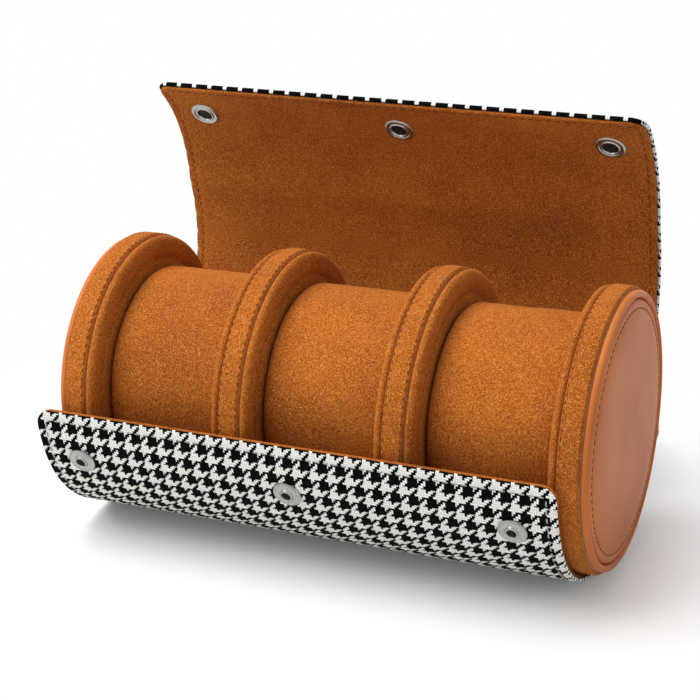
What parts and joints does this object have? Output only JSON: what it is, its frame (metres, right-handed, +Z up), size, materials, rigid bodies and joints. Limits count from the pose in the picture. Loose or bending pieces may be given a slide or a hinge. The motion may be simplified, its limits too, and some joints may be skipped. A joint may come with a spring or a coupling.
{
  "type": "watch travel case",
  "caption": "Roll-up travel case for watches: padded discs and lift-out cushions in a stiffened cloth wrap whose flap rolls over and snaps shut",
  "frame": {"origin": "middle of the flat underside of the wrap, below the axis of the discs", "axes": "X along the roll to the right end, Y from the front wall to the back, Z up"},
  "size_m": [0.1794, 0.1489, 0.1349],
  "materials": {
    "woven_cloth": "black and off-white broken-check weave, matt",
    "suede": "cognac suede, matt nap",
    "leather": "smooth tan leather, satin",
    "stiffening_board": "dull grey-brown board",
    "foam": "cream foam",
    "snap_steel": "polished nickel plate",
    "snap_gunmetal": "dark nickel plate"
  },
  "bodies": {
    "base": {"wrap_fabric": "woven_cloth", "wrap_board": "stiffening_board", "wrap_lining": "suede", "snap_studs": "snap_steel", "stud_rivet_plates": "snap_steel", "left_end_core": "foam", "left_end_band": "suede", "left_end_facing": "suede", "left_end_rim": "leather", "left_end_face": "leather", "right_end_core": "foam", "right_end_band": "suede", "right_end_facing": "suede", "right_end_rim": "leather", "right_end_face": "leather", "left_divider_core": "foam", "left_divider_band": "suede", "left_divider_facings": "suede", "right_divider_core": "foam", "right_divider_band": "suede", "right_divider_facings": "suede"},
    "left_cushion": {"left_cushion_core": "foam", "left_cushion_sleeve": "suede", "left_cushion_ends": "suede"},
    "middle_cushion": {"middle_cushion_core": "foam", "middle_cushion_sleeve": "suede", "middle_cushion_ends": "suede"},
    "right_cushion": {"right_cushion_core": "foam", "right_cushion_sleeve": "suede", "right_cushion_ends": "suede"},
    "floor_panel_1": {"floor_panel_1_fabric": "woven_cloth", "floor_panel_1_board": "stiffening_board", "floor_panel_1_lining": "suede"},
    "floor_panel_2": {"floor_panel_2_fabric": "woven_cloth", "floor_panel_2_board": "stiffening_board", "floor_panel_2_lining": "suede"},
    "floor_panel_3": {"floor_panel_3_fabric": "woven_cloth", "floor_panel_3_board": "stiffening_board", "floor_panel_3_lining": "suede"},
    "riser": {"riser_panel_1_fabric": "woven_cloth", "riser_panel_1_board": "stiffening_board", "riser_panel_1_lining": "suede", "riser_panel_2_fabric": "woven_cloth", "riser_panel_2_board": "stiffening_board", "riser_panel_2_lining": "suede"},
    "lower_lid": {"lower_lid_fabric": "woven_cloth", "lower_lid_board": "stiffening_board", "lower_lid_lining": "suede"},
    "upper_lid": {"upper_lid_fabric": "woven_cloth", "upper_lid_board": "stiffening_board", "upper_lid_lining": "suede", "snap_sockets": "snap_gunmetal", "socket_caps": "snap_steel"}
  },
  "joints": [
    {"name": "flap_roll", "type": "hinge", "parent": "base", "child": "floor_panel_1", "pos_m": [0, 0.01159, 0.00453], "axis": [1, 0, 0], "range_deg": [0, 26.8]},
    {"name": "floor_crease_1", "type": "hinge", "parent": "floor_panel_1", "child": "floor_panel_2", "pos_m": [0, 0.04031, 0.00425], "axis": [1, 0, 0], "range_deg": [0, 45.2]},
    {"name": "floor_crease_2", "type": "hinge", "parent": "floor_panel_2", "child": "floor_panel_3", "pos_m": [0, 0.06903, 0.00425], "axis": [1, 0, 0], "range_deg": [0, 32.1]},
    {"name": "back_fold", "type": "hinge", "parent": "floor_panel_3", "child": "riser", "pos_m": [0, 0.09775, 0.00425], "axis": [1, 0, 0], "range_deg": [-93.9, 0]},
    {"name": "lid_fold", "type": "hinge", "parent": "riser", "child": "lower_lid", "pos_m": [0, 0.05378, 0.03929], "axis": [1, 0, 0], "range_deg": [0, 130.8]},
    {"name": "lid_crease", "type": "hinge", "parent": "lower_lid", "child": "upper_lid", "pos_m": [0, 0.06136, 0.09323], "axis": [1, 0, 0], "range_deg": [0, 24]},
    {"name": "left_cushion_lift", "type": "slide", "parent": "base", "child": "left_cushion", "axis": [0, -0.5, 0.866], "range_m": [0, 0.11]},
    {"name": "middle_cushion_lift", "type": "slide", "parent": "base", "child": "middle_cushion", "axis": [0, -0.5, 0.866], "range_m": [0, 0.11]},
    {"name": "right_cushion_lift", "type": "slide", "parent": "base", "child": "right_cushion", "axis": [0, -0.5, 0.866], "range_m": [0, 0.11]}
  ],
  "couplings": [
    {"joint": "floor_crease_1", "follows": "flap_roll", "ratio": 1.6828},
    {"joint": "floor_crease_2", "follows": "flap_roll", "ratio": 1.194},
    {"joint": "back_fold", "follows": "flap_roll", "ratio": -3.5},
    {"joint": "lid_fold", "follows": "flap_roll", "ratio": 4.8769},
    {"joint": "lid_crease", "follows": "flap_roll", "ratio": 0.89179}
  ]
}
